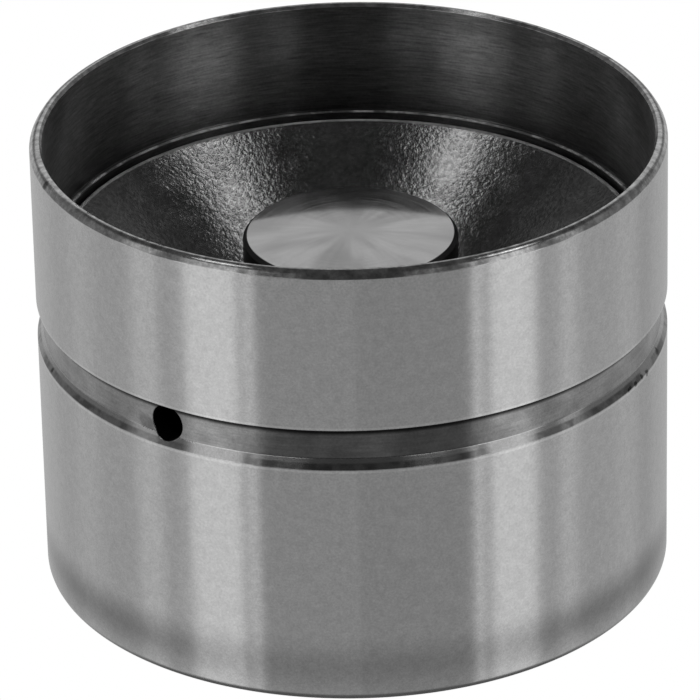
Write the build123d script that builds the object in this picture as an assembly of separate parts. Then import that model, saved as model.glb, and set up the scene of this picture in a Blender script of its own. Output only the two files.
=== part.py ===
from build123d import *
import math
import os

# Hydraulic bucket tappet, in millimetres, standing on its cam face.
# The origin is the centre of the cam face and +Z points out of the open skirt.

# Bucket shell: outside
outer_diameter = 35.0
height = 26.0
crown_thickness = 2.6
crown_edge_radius = 0.5
rim_outer_chamfer_width = 0.25
rim_outer_chamfer_height = 0.4
rim_inner_chamfer = 0.15

# Bucket shell: inside
mouth_wall = 0.7
mouth_bore_depth = 1.3
mouth_relief_height = 0.25
skirt_wall = 0.88
seat_wall = 1.25
shoulder_depth = 6.56
shoulder_corner_radius = 0.12
crown_corner_radius = 1.2

# Bucket shell: oil groove, feed hole and the overflow recess under the crown
groove_upper_edge = 16.6
groove_width = 2.35
groove_depth = 0.35
groove_lower_flank_height = 0.55
groove_floor_radius = 0.25
feed_hole_diameter = 2.1
feed_hole_angle = 234.1
overflow_depth = 0.5
overflow_width = 3.0
overflow_reach = 9.5

# Guide web
web_thickness = 0.9
web_slope = 37.0
web_edge_radius = 0.3
web_rim_drop = 0.31
collar_thickness = 0.9
collar_height = 2.2
collar_inner_radius = 0.3
throat_radius = 1.0
sleeve_wall = 0.95
sleeve_end_chamfer = 0.2

# Inner housing
housing_diameter = 11.9
housing_face_height = 19.91
housing_bore_diameter = 9.04
housing_end_thickness = 2.6
housing_edge_chamfer = 0.22
housing_mouth_chamfer = 0.25
housing_travel = 2.6
housing_floor_clearance = 0.5
housing_bore_corner_radius = 0.5
sleeve_clearance = 0.03

# Retaining ring in the inner housing
ring_wire = 0.7
ring_groove_depth = 0.32
ring_groove_clearance = 0.03
ring_land = 0.4
ring_stop_clearance = 0.15
ring_gap_angle = 22.0

# Plunger and its valve seat
plunger_clearance = 0.02
plunger_length = 7.4
plunger_bore_diameter = 6.4
plunger_end_chamfer = 0.3
port_wall = 1.6
port_diameter = 2.8
seat_mouth_diameter = 4.3

# Check ball, its cage and its spring
ball_diameter = 4.0
ball_seat_clearance = 0.02
cage_sheet = 0.3
cage_side_clearance = 0.35
cage_flange_clearance = 0.2
cage_room_above_ball = 1.17
cage_bend_radius = 0.3
window_count = 3
window_width = 1.6
window_height = 1.9
window_sill = 0.5
ball_spring_wire = 0.2
ball_spring_mean_diameter = 1.8
ball_spring_turns = 4.0

# Return spring
return_spring_wire = 0.8
return_spring_mean_diameter = 7.2
return_spring_turns = 5.0

# Ends of both springs
closed_turns = 1.0
closed_coil_pitch = 1.06
points_per_turn = 16
spring_seat_clearance = 0.01

# Derived sizes
outer_radius = outer_diameter / 2
mouth_bore_radius = outer_radius - mouth_wall
skirt_bore_radius = outer_radius - skirt_wall
seat_bore_radius = outer_radius - seat_wall
shoulder_height = height - shoulder_depth
groove_lower_edge = groove_upper_edge - groove_width
groove_floor = outer_radius - groove_depth
feed_hole_radius = feed_hole_diameter / 2
feed_hole_height = groove_upper_edge - feed_hole_radius

web_rim_height = shoulder_height - web_rim_drop
slope = math.radians(web_slope)
housing_radius = housing_diameter / 2
sleeve_bore_radius = housing_radius + sleeve_clearance
sleeve_outer_radius = sleeve_bore_radius + sleeve_wall

housing_bore_radius = housing_bore_diameter / 2
housing_mouth_height = crown_thickness + housing_floor_clearance + housing_travel
housing_bore_end = housing_face_height - housing_end_thickness
ring_centre_height = housing_mouth_height + ring_land + ring_wire / 2
ring_groove_radius = housing_radius - ring_groove_depth
ring_mean_radius = ring_groove_radius + ring_groove_clearance + ring_wire / 2
sleeve_end_height = ring_centre_height + ring_wire / 2 + ring_stop_clearance

plunger_radius = housing_bore_radius - plunger_clearance
plunger_bore_radius = plunger_bore_diameter / 2
plunger_top = crown_thickness + plunger_length
port_radius = port_diameter / 2
seat_mouth_radius = seat_mouth_diameter / 2
seat_cone_depth = seat_mouth_radius - port_radius

ball_radius = ball_diameter / 2
# On a cone of 45 degrees the ball's centre lies root two radii above the cone's tip.
seat_cone_tip = plunger_top - seat_mouth_radius
ball_centre_height = seat_cone_tip + (ball_radius + ball_seat_clearance) * math.sqrt(2)
cage_inner_radius = ball_radius + cage_side_clearance
cage_outer_radius = cage_inner_radius + cage_sheet
cage_flange_radius = housing_bore_radius - cage_flange_clearance
cage_ceiling = ball_centre_height + ball_radius + cage_room_above_ball
cage_top = cage_ceiling + cage_sheet
flange_top = plunger_top + cage_sheet


def nearest_vertex(shape, x, y):
    """The vertex of a flat section that lies nearest a point."""
    return min(shape.vertices(), key=lambda v: (v.X - x) ** 2 + (v.Y - y) ** 2)


def outline_face(points, rounds=()):
    """A closed outline in (radius, height), with the named corners rounded."""
    face = make_face(Polyline(*points, close=True))
    for x, y, radius in rounds:
        face = fillet(nearest_vertex(face, x, y), radius)
    return face


def turned(face):
    """A solid of revolution about Z from a section in (radius, height)."""
    return revolve(Plane.XZ * face, Axis.Z)


def bucket_shell():
    """The cup: crown, skirt, oil groove, feed hole and overflow recess."""
    chamfer_base = height - rim_outer_chamfer_height
    relief_base = height - mouth_bore_depth
    outline = [
        (0, 0),
        (outer_radius, 0),
        (outer_radius, chamfer_base),
        (outer_radius - rim_outer_chamfer_width, height),
        (mouth_bore_radius + rim_inner_chamfer, height),
        (mouth_bore_radius, height - rim_inner_chamfer),
        (mouth_bore_radius, relief_base),
        (skirt_bore_radius, relief_base - mouth_relief_height),
        (skirt_bore_radius, shoulder_height),
        (seat_bore_radius, shoulder_height),
        (seat_bore_radius, crown_thickness),
        (0, crown_thickness),
    ]
    rounds = [
        (outer_radius, 0, crown_edge_radius),
        (skirt_bore_radius, shoulder_height, shoulder_corner_radius),
        (seat_bore_radius, crown_thickness, crown_corner_radius),
    ]
    cup = turned(outline_face(outline, rounds))
    cup -= oil_groove()
    cup -= feed_hole()
    cup -= overflow_recess()
    return cup


def oil_groove():
    """Ring cut round the skirt: square upper flank, sloped lower flank."""
    beyond = outer_radius + groove_depth
    flank_foot = groove_lower_edge + groove_lower_flank_height
    flank_rise = groove_lower_flank_height / groove_depth
    outline = [
        (groove_floor, groove_upper_edge),
        (beyond, groove_upper_edge),
        (beyond, groove_lower_edge - flank_rise * (beyond - outer_radius)),
        (groove_floor, flank_foot),
    ]
    return turned(outline_face(outline, [(groove_floor, flank_foot, groove_floor_radius)]))


def feed_hole():
    """Radial drill through the skirt, its top level with the groove's upper edge."""
    drill_length = seat_wall + 2 * feed_hole_radius
    middle = (outer_radius + seat_bore_radius) / 2
    drill = Cylinder(feed_hole_radius, drill_length, rotation=(0, 90, 0))
    return Rot(0, 0, feed_hole_angle) * Pos(middle, 0, feed_hole_height) * drill


def overflow_recess():
    """Shallow slot in the crown's underside that lets oil pass under the plunger."""
    end_radius = overflow_width / 2
    slot = make_hull(
        (Circle(end_radius) + Pos(overflow_reach - end_radius, 0) * Circle(end_radius)).edges()
    )
    cut = extrude(slot, overflow_depth)
    turn = Rot(0, 0, feed_hole_angle)
    return turn * Pos(0, 0, crown_thickness - overflow_depth) * cut


def web_cone_height(radius):
    """Height of the funnel's upper face at a radius."""
    edge_centre = seat_bore_radius - web_edge_radius
    tangent_radius = edge_centre - web_edge_radius * math.sin(slope)
    tangent_height = web_rim_height - web_edge_radius * (1 - math.cos(slope))
    return tangent_height - (tangent_radius - radius) * math.tan(slope)


def guide_web():
    """Funnel with a collar in the skirt and a sleeve round the inner housing."""
    below = web_thickness / math.cos(slope)
    collar_end = web_rim_height - collar_height
    collar_inner = seat_bore_radius - collar_thickness
    corner_top = (seat_bore_radius, web_cone_height(seat_bore_radius))
    throat = (sleeve_bore_radius, web_cone_height(sleeve_bore_radius))
    throat_under = (sleeve_outer_radius, web_cone_height(sleeve_outer_radius) - below)
    collar_under = (collar_inner, web_cone_height(collar_inner) - below)
    outline = [
        (seat_bore_radius, collar_end),
        corner_top,
        throat,
        (sleeve_bore_radius, sleeve_end_height),
        (sleeve_outer_radius, sleeve_end_height),
        throat_under,
        collar_under,
        (collar_inner, collar_end),
    ]
    rounds = [
        (*corner_top, web_edge_radius),
        (*throat, throat_radius),
        (*throat_under, throat_radius),
        (*collar_under, collar_inner_radius),
    ]
    face = outline_face(outline, rounds)
    corners = [
        nearest_vertex(face, sleeve_bore_radius, sleeve_end_height),
        nearest_vertex(face, sleeve_outer_radius, sleeve_end_height),
    ]
    return turned(chamfer(corners, sleeve_end_chamfer))


def inner_housing():
    """Cylinder with a closed, ground end, open towards the crown."""
    groove_bottom = ring_centre_height - ring_wire / 2 - ring_groove_clearance
    groove_top = ring_centre_height + ring_wire / 2 + ring_groove_clearance
    outline = [
        (0, housing_bore_end),
        (housing_bore_radius, housing_bore_end),
        (housing_bore_radius, housing_mouth_height + housing_mouth_chamfer),
        (housing_bore_radius + housing_mouth_chamfer, housing_mouth_height),
        (housing_radius - housing_mouth_chamfer, housing_mouth_height),
        (housing_radius, housing_mouth_height + housing_mouth_chamfer),
        (housing_radius, groove_bottom),
        (ring_groove_radius, groove_bottom),
        (ring_groove_radius, groove_top),
        (housing_radius, groove_top),
        (housing_radius, housing_face_height - housing_edge_chamfer),
        (housing_radius - housing_edge_chamfer, housing_face_height),
        (0, housing_face_height),
    ]
    rounds = [(housing_bore_radius, housing_bore_end, housing_bore_corner_radius)]
    return turned(outline_face(outline, rounds))


def retaining_ring():
    """Split round-wire ring, open over a short angle."""
    wire_section = Plane.XZ * Pos(ring_mean_radius, ring_centre_height) * Circle(ring_wire / 2)
    return revolve(wire_section, Axis.Z, revolution_arc=360 - ring_gap_angle)


def plunger():
    """Hollow piston: open on the crown, with the port and conical seat above."""
    outline = [
        (port_radius, plunger_top - port_wall),
        (plunger_bore_radius, plunger_top - port_wall),
        (plunger_bore_radius, crown_thickness),
        (plunger_radius - plunger_end_chamfer, crown_thickness),
        (plunger_radius, crown_thickness + plunger_end_chamfer),
        (plunger_radius, plunger_top - plunger_end_chamfer),
        (plunger_radius - plunger_end_chamfer, plunger_top),
        (seat_mouth_radius, plunger_top),
        (port_radius, plunger_top - seat_cone_depth),
    ]
    return turned(outline_face(outline))


def check_ball():
    """Steel ball on the plunger's seat."""
    return Pos(0, 0, ball_centre_height) * Sphere(ball_radius)


def ball_retainer():
    """Pressed cage over the ball: flange, cup and three windows."""
    outline = [
        (cage_inner_radius, plunger_top),
        (cage_flange_radius, plunger_top),
        (cage_flange_radius, flange_top),
        (cage_outer_radius, flange_top),
        (cage_outer_radius, cage_top),
        (0, cage_top),
        (0, cage_ceiling),
        (cage_inner_radius, cage_ceiling),
    ]
    cage = turned(outline_face(outline, [(cage_outer_radius, cage_top, cage_bend_radius)]))
    window = Box(cage_flange_radius, window_width, window_height)
    middle = flange_top + window_sill + window_height / 2
    for index in range(window_count):
        turn = Rot(0, 0, 360 / window_count * index)
        cage -= turn * Pos(cage_flange_radius / 2, 0, middle) * window
    return cage


def coil_spring(mean_diameter, wire, turns, bottom, top):
    """Round-wire compression spring with closed, ground ends between two heights."""
    closed_pitch = wire * closed_coil_pitch
    opening = top - bottom - closed_pitch * turns
    steps = round(turns * points_per_turn)
    points = []
    for step in range(steps + 1):
        turn = turns * step / steps
        share = (turn - closed_turns) / (turns - 2 * closed_turns)
        share = min(max(share, 0), 1)
        eased = share * share * (3 - 2 * share)
        angle = 2 * math.pi * turn
        points.append((
            mean_diameter / 2 * math.cos(angle),
            mean_diameter / 2 * math.sin(angle),
            bottom + closed_pitch * turn + opening * eased,
        ))
    path = Spline(*points)
    profile = Plane(path @ 0, z_dir=path % 0) * Circle(wire / 2)
    coil = sweep(profile, path, is_frenet=True)
    between_ends = Cylinder(
        mean_diameter, top - bottom, align=(Align.CENTER, Align.CENTER, Align.MIN)
    )
    return coil & Pos(0, 0, bottom) * between_ends


def ball_spring():
    """Light spring between the ball and the cage's ceiling."""
    radius = ball_spring_mean_diameter / 2
    inner_radius = radius - ball_spring_wire / 2
    seat_height = ball_centre_height + math.sqrt(ball_radius ** 2 - inner_radius ** 2)
    bottom = seat_height + spring_seat_clearance
    top = cage_ceiling - spring_seat_clearance
    return coil_spring(ball_spring_mean_diameter, ball_spring_wire, ball_spring_turns, bottom, top)


def return_spring():
    """Spring between the cage's flange and the inner housing's closed end."""
    bottom = flange_top + spring_seat_clearance
    top = housing_bore_end - spring_seat_clearance
    return coil_spring(
        return_spring_mean_diameter, return_spring_wire, return_spring_turns, bottom, top
    )


pieces = {
    "bucket_shell": bucket_shell,
    "guide_web": guide_web,
    "inner_housing": inner_housing,
    "retaining_ring": retaining_ring,
    "plunger": plunger,
    "check_ball": check_ball,
    "ball_retainer": ball_retainer,
    "ball_spring": ball_spring,
    "return_spring": return_spring,
}

os.makedirs("parts", exist_ok=True)
for name, build in pieces.items():
    export_step(build(), f"parts/{name}.step")
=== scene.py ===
"""Looks of the hydraulic bucket tappet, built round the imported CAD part.

All sizes in the classes are millimetres in the part's own frame: the origin is the centre of the cam face
and +Z points out of the open skirt. Meshes are written in metres.
"""

import logging
import math
from dataclasses import dataclass, field
from enum import Enum, IntEnum
from typing import ClassVar, Sequence

import bpy
import numpy as np
from mathutils import Matrix, Vector


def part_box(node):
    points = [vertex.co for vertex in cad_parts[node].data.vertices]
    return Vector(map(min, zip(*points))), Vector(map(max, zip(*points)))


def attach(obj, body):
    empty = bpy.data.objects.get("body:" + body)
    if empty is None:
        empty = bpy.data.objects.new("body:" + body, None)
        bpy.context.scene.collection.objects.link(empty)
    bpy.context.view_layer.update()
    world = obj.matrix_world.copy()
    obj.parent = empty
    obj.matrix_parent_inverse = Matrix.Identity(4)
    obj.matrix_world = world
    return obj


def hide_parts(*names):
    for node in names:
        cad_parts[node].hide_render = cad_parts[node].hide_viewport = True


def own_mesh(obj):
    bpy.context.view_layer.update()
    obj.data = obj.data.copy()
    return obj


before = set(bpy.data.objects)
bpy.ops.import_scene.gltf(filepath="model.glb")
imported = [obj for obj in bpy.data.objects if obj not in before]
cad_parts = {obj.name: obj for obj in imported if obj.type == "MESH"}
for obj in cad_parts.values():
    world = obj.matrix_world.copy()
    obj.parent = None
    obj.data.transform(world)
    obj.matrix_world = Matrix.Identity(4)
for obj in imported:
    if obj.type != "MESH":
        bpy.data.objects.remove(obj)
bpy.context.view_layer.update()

LOG = logging.getLogger("tappet")

Material = bpy.types.Material
Node = bpy.types.Node
Piece = bpy.types.Object
Socket = bpy.types.NodeSocket
Tree = bpy.types.NodeTree

# A millimetre in metres, and the millimetres in a metre.
MM = 0.001
PER_MM = 1000.0
# Columns once round a turned piece, degrees between points of an arc, and the turn that stays one point.
SEGMENTS = 360
ARC_STEP = 12.0
SOFT_TURN = 4.0
# Lengths that count as nought.
TINY = 1e-6
EXACT = 1e-9
# Degrees in a full turn.
FULL_TURN = 360.0
# The value about which a noise swings.
NOISE_MIDDLE = 0.5
# The turn of a Principled shader's anisotropy that suits marks round the axis.
MARKS_ROUND = 0.25
# The part of a turning mark's noise that its change of level spans.
MARK_RANGE = (0.25, 0.75)


class Body(Enum):
    """The moving bodies of the tappet that the new pieces ride on."""

    BUCKET = "bucket"
    HOUSING = "housing"


class ShellSlot(IntEnum):
    """Material slots of the bucket shell."""

    GROUND = 0
    BORE = 1
    GROOVE = 2
    # The feed hole's wall, painted near-black for its shade.
    HOLE = 3


class HousingSlot(IntEnum):
    """Material slots of the inner housing."""

    # The housing's side, painted near-black for the shade in its gap.
    SIDE = 0
    FACE = 1


@dataclass(frozen=True)
class Corner:
    """One corner of a turned outline: radius, height and the radius of its rounding."""

    radius: float
    height: float
    rounding: float = 0.03


@dataclass(frozen=True)
class Outline:
    """Points of a turned outline in (radius, height) and the outward normals there."""

    points: np.ndarray
    normals: np.ndarray

    def part(self, first: int, last: int | None = None) -> "Outline":
        """The outline's points from one number up to, but without, another."""
        return Outline(self.points[first:last], self.normals[first:last])

    def subdivided(self, spacing: float) -> "Outline":
        """Adds points on runs longer than a spacing, evenly spaced along each run.

        Args:
            spacing: the longest run left, in millimetres.

        Returns:
            The same outline with more points.
        """
        length = np.linalg.norm(np.diff(self.points, axis=0), axis=1)
        count = np.maximum(1, np.ceil(length / spacing - EXACT)).astype(int)
        run = np.repeat(np.arange(len(count)), count)
        first = np.cumsum(count) - count
        share = ((np.arange(count.sum()) - first[run]) / count[run])[:, None]
        points = self.points[run] * (1 - share) + self.points[run + 1] * share
        normals = self.normals[run] * (1 - share) + self.normals[run + 1] * share
        points = np.vstack([points, self.points[-1:]])
        normals = np.vstack([normals, self.normals[-1:]])
        return Outline(points, normals / np.linalg.norm(normals, axis=1)[:, None])

    def joined(self, other: "Outline") -> "Outline":
        """This outline followed by another that starts where it ends."""
        rest = other.part(1)
        return Outline(np.vstack([self.points, rest.points]), np.vstack([self.normals, rest.normals]))


def rounded_outline(corners: Sequence[Corner], closed: bool = False) -> Outline:
    """Turns a list of corners into an outline with an arc at each corner.

    With unit directions in and out of a corner and the turn between them, the arc starts
    rounding * tan(turn / 2) before the corner. Its points are centre + side * rounding * normal, where the
    normal swings evenly from the first run's to the second's. A turn under a few degrees stays one point.

    Args:
        corners: the corners in order, with the solid on the left of the direction of travel.
        closed: whether the last corner joins the first.

    Returns:
        The outline; a closed one ends on its first point.
    """
    place = np.array([(c.radius, c.height) for c in corners])
    rounding = np.array([c.rounding for c in corners])
    before = place - np.roll(place, 1, axis=0)
    after = np.roll(place, -1, axis=0) - place
    if not closed:
        before[0] = after[0]
        after[-1] = before[-1]
    before /= np.linalg.norm(before, axis=1)[:, None]
    after /= np.linalg.norm(after, axis=1)[:, None]
    cross = before[:, 0] * after[:, 1] - before[:, 1] * after[:, 0]
    turn = np.arctan2(cross, (before * after).sum(axis=1))
    points, normals = [], []
    for here, step, bend, size in zip(place, before, turn, rounding):
        facing = math.atan2(-step[0], step[1])
        if abs(math.degrees(bend)) < SOFT_TURN:
            swing = np.array([facing + bend / 2])
            arc = here[None, :]
        else:
            steps = max(2, math.ceil(abs(math.degrees(bend)) / ARC_STEP))
            swing = facing + bend * np.linspace(0, 1, steps + 1)
            side = math.copysign(size, bend)
            start = here - step * size * math.tan(abs(bend) / 2)
            centre = start - side * np.array([math.cos(facing), math.sin(facing)])
            arc = centre + side * np.stack([np.cos(swing), np.sin(swing)], axis=1)
        points.append(arc)
        normals.append(np.stack([np.cos(swing), np.sin(swing)], axis=1))
    if closed:
        points.append(points[0][:1])
        normals.append(normals[0][:1])
    return Outline(np.vstack(points), np.vstack(normals))


@dataclass
class Skin:
    """Vertices, outward normals and faces of a piece while it is being built."""

    points: list[np.ndarray] = field(default_factory=list)
    normals: list[np.ndarray] = field(default_factory=list)
    faces: list[np.ndarray] = field(default_factory=list)
    slots: list[np.ndarray] = field(default_factory=list)
    count: int = 0

    def add(self, points: np.ndarray, normals: np.ndarray) -> np.ndarray:
        """Adds vertices.

        Args:
            points: places in millimetres, with the last axis of three.
            normals: outward normals of the same shape.

        Returns:
            The new vertices' numbers, in the shape of the input without its last axis.
        """
        shape = points.shape[:-1]
        self.points.append(points.reshape(-1, 3))
        self.normals.append(normals.reshape(-1, 3))
        number = np.arange(self.count, self.count + int(np.prod(shape)))
        self.count += len(number)
        return number.reshape(shape)

    def weave(self, rows: np.ndarray, slot: int | np.ndarray = 0, keep: np.ndarray | None = None) -> None:
        """Adds a four-sided face between each two rows and columns of vertex numbers.

        Args:
            rows: vertex numbers on a grid; columns run to the right and rows upwards, seen from outside.
            slot: the material slot, or one for each row of faces.
            keep: which faces to make, one flag for each; all of them where it is left out.
        """
        quads = np.stack([rows[:-1, :-1], rows[:-1, 1:], rows[1:, 1:], rows[1:, :-1]], axis=-1)
        slots = np.broadcast_to(np.asarray(slot).reshape(-1, 1), quads.shape[:2])
        chosen = np.ones(quads.shape[:2], bool) if keep is None else keep
        self.faces.append(quads[chosen])
        self.slots.append(slots[chosen])

    def fan(self, centre: int, ring: np.ndarray, slot: int = 0) -> None:
        """Closes a ring of vertices with triangles to its centre.

        Args:
            centre: the centre's vertex number.
            ring: the ring's numbers, anticlockwise seen from outside, with the first repeated at the end.
            slot: the material slot.
        """
        triangles = np.stack([ring[:-1], ring[1:], np.full(len(ring) - 1, centre)], axis=-1)
        self.faces.append(triangles)
        self.slots.append(np.full(len(triangles), slot))

    def mesh(self, name: str) -> Piece:
        """Writes the skin as a smooth mesh object, in metres, with its own normals.

        Args:
            name: the object's name.

        Returns:
            The object.
        """
        points = np.vstack(self.points) * MM
        normals = np.vstack(self.normals)
        data = bpy.data.meshes.new(name)
        sizes = np.concatenate([np.full(len(part), part.shape[1]) for part in self.faces])
        corners = np.concatenate([part.ravel() for part in self.faces])
        data.vertices.add(len(points))
        data.vertices.foreach_set("co", points.astype(np.float32).ravel())
        data.loops.add(len(corners))
        data.loops.foreach_set("vertex_index", corners.astype(np.int32))
        data.polygons.add(len(sizes))
        data.polygons.foreach_set("loop_start", (np.cumsum(sizes) - sizes).astype(np.int32))
        data.polygons.foreach_set("material_index", np.concatenate(self.slots).astype(np.int32))
        data.update(calc_edges=True)
        data.validate()
        data.shade_smooth()
        lengths = np.linalg.norm(normals, axis=1)[:, None]
        data.normals_split_custom_set_from_vertices((normals / lengths).tolist())
        return new_object(name, data)


def new_object(name: str, data: bpy.types.ID) -> Piece:
    """Links a new object at the origin to the scene.

    Args:
        name: the object's name.
        data: its mesh or camera data.

    Returns:
        The object.
    """
    made = bpy.data.objects.new(name, data)
    bpy.context.scene.collection.objects.link(made)
    return made


def circle_angles(start: float = 0.0) -> np.ndarray:
    """Evenly spaced angles once round, from a start in degrees, in radians, without the closing one."""
    return math.radians(start) + np.linspace(0, 2 * math.pi, SEGMENTS, endpoint=False)


def turned_rows(skin: Skin, outline: Outline, angles: np.ndarray) -> np.ndarray:
    """Adds the vertices of an outline turned about Z: (r cos a, r sin a, z) for each outline point and angle.

    Args:
        skin: the skin that takes the vertices.
        outline: the outline, with no point on the axis.
        angles: the angles in radians, without the closing one.

    Returns:
        Vertex numbers, one row for each outline point, with the first column repeated at the end.
    """
    cos, sin = np.cos(angles), np.sin(angles)
    radius, height = outline.points[:, :1], outline.points[:, 1:]
    out, up = outline.normals[:, :1], outline.normals[:, 1:]
    flat = np.ones_like(cos)[None, :]
    points = np.stack([radius * cos, radius * sin, height * flat], axis=-1)
    normals = np.stack([out * cos, out * sin, up * flat], axis=-1)
    number = skin.add(points, normals)
    return np.hstack([number, number[:, :1]])


def close_poles(skin: Skin, outline: Outline, rows: np.ndarray, slots: tuple[int, int]) -> None:
    """Closes both ends of a turned outline that meets the axis, with one vertex each.

    Args:
        skin: the skin that takes the faces.
        outline: the outline, whose first and last point lie on the axis.
        rows: the turned vertices' numbers.
        slots: the material slots at the first and last end.
    """
    ends = np.array([[0, 0, outline.points[0, 1]], [0, 0, outline.points[-1, 1]]])
    facing = np.array([[0, 0, outline.normals[0, 1]], [0, 0, outline.normals[-1, 1]]])
    first, last = skin.add(ends, facing)
    skin.fan(first, rows[0][::-1], slots[0])
    skin.fan(last, rows[-1], slots[1])


def grey(level: float) -> tuple[float, float, float, float]:
    """A grey colour with full alpha."""
    return level, level, level, 1.0


def sines(angles: Sequence[float]) -> list[float]:
    """Sines of angles in degrees, which are the heights of directions that far above level."""
    return [math.sin(math.radians(angle)) for angle in angles]


class Sheet:
    """Short calls that place nodes on a node tree and join them."""

    # A Mix node's sockets for colours: share, first and second colour in, and the blend out.
    MIX_INPUTS = (0, 6, 7)
    MIX_OUTPUT = 2

    def __init__(self, tree: Tree) -> None:
        """Starts on an empty tree."""
        self.tree = tree
        tree.nodes.clear()

    def feed(self, socket: Socket, value: object) -> None:
        """Links a socket to an output, or sets it to a value."""
        if isinstance(value, Socket):
            self.tree.links.new(value, socket)
        else:
            socket.default_value = value

    def node(self, kind: str, *values: object, **settings: object) -> Node:
        """Adds one node.

        Args:
            kind: the node's type.
            values: what its inputs get, from the first on.
            settings: its own properties.

        Returns:
            The node.
        """
        made = self.tree.nodes.new(kind)
        for key, value in settings.items():
            setattr(made, key, value)
        for socket, value in zip(made.inputs, values):
            self.feed(socket, value)
        return made

    def math(self, operation: str, *values: object, clamp: bool = False) -> Socket:
        """A Math node on up to three values."""
        return self.node("ShaderNodeMath", *values, operation=operation, use_clamp=clamp).outputs[0]

    def measure(self, operation: str, *vectors: object) -> Socket:
        """A Vector Math node with a number for its output."""
        return self.node("ShaderNodeVectorMath", *vectors, operation=operation).outputs["Value"]

    def split(self, vector: Socket) -> tuple[Socket, ...]:
        """The three parts of a vector."""
        return tuple(self.node("ShaderNodeSeparateXYZ", vector).outputs)

    def join(self, x: object, y: object, z: object) -> Socket:
        """A vector from three parts."""
        return self.node("ShaderNodeCombineXYZ", x, y, z).outputs[0]

    def noise(self, vector: Socket, scale: object, detail: float = 2.0, rough: float = 0.5) -> Socket:
        """A noise value near one half.

        Args:
            vector: the place.
            scale: how often the pattern changes on a unit of the place.
            detail: how many finer layers it has.
            rough: how strong those are.

        Returns:
            The value.
        """
        made = self.node("ShaderNodeTexNoise")
        names = ("Vector", "Scale", "Detail", "Roughness")
        for name, value in zip(names, (vector, scale, detail, rough)):
            self.feed(made.inputs[name], value)
        return made.outputs[0]

    def spread(self, value: object, low: object, high: object, to_low: object = 0.0, to_high: object = 1.0,
               kind: str = "SMOOTHSTEP") -> Socket:
        """Maps a value from one range to another, clamped.

        Args:
            value: the value.
            low: start of the first range.
            high: end of the first range.
            to_low: what the start gives.
            to_high: what the end gives.
            kind: SMOOTHSTEP for soft ends or LINEAR for straight ones.

        Returns:
            The mapped value.
        """
        made = self.node("ShaderNodeMapRange", interpolation_type=kind)
        names = ("Value", "From Min", "From Max", "To Min", "To Max")
        for name, item in zip(names, (value, low, high, to_low, to_high)):
            self.feed(made.inputs[name], item)
        return made.outputs[0]

    def vary(self, level: object, value: object, change: float,
             low: float = 0.0, high: float = 1.0) -> Socket:
        """Multiplies a level by one less a change up to one plus it, straight along a value.

        Args:
            level: the level.
            value: what it follows, such as a grain.
            change: the share of the level by which it changes.
            low: the value at which the level is lowest.
            high: the value at which it is highest.

        Returns:
            The varied level.
        """
        factor = self.spread(value, low, high, 1.0 - change, 1.0 + change, "LINEAR")
        return self.math("MULTIPLY", level, factor)

    def shade(self, level: object, mask: object, change: object) -> Socket:
        """Changes a level by a share of itself where a mask is one: level * (1 + mask * change)."""
        return self.math("MULTIPLY", level, self.math("MULTIPLY_ADD", mask, change, 1.0))

    def window(self, value: Socket, rise: Sequence[float], fall: Sequence[float]) -> Socket:
        """One between two soft ends: a rise over one pair of values times a fall over the other."""
        return self.math("MULTIPLY", self.spread(value, *rise), self.spread(value, *fall, 1.0, 0.0))

    def blend(self, share: object, first: object, second: object) -> Socket:
        """A colour between two colours."""
        made = self.node("ShaderNodeMix", data_type="RGBA")
        for index, value in zip(self.MIX_INPUTS, (share, first, second)):
            self.feed(made.inputs[index], value)
        return made.outputs[self.MIX_OUTPUT]

    def tint(self, colour: tuple[float, float, float], level: Socket) -> Socket:
        """A colour times a level."""
        made = self.node("ShaderNodeVectorMath", colour, operation="SCALE")
        self.feed(made.inputs["Scale"], level)
        return made.outputs[0]

    def group(self, tree: Tree, **values: object) -> Socket:
        """Places a node group, feeds its inputs by name and gives its output."""
        made = self.node("ShaderNodeGroup", node_tree=tree)
        for key, value in values.items():
            self.feed(made.inputs[key], value)
        return made.outputs[0]


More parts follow.
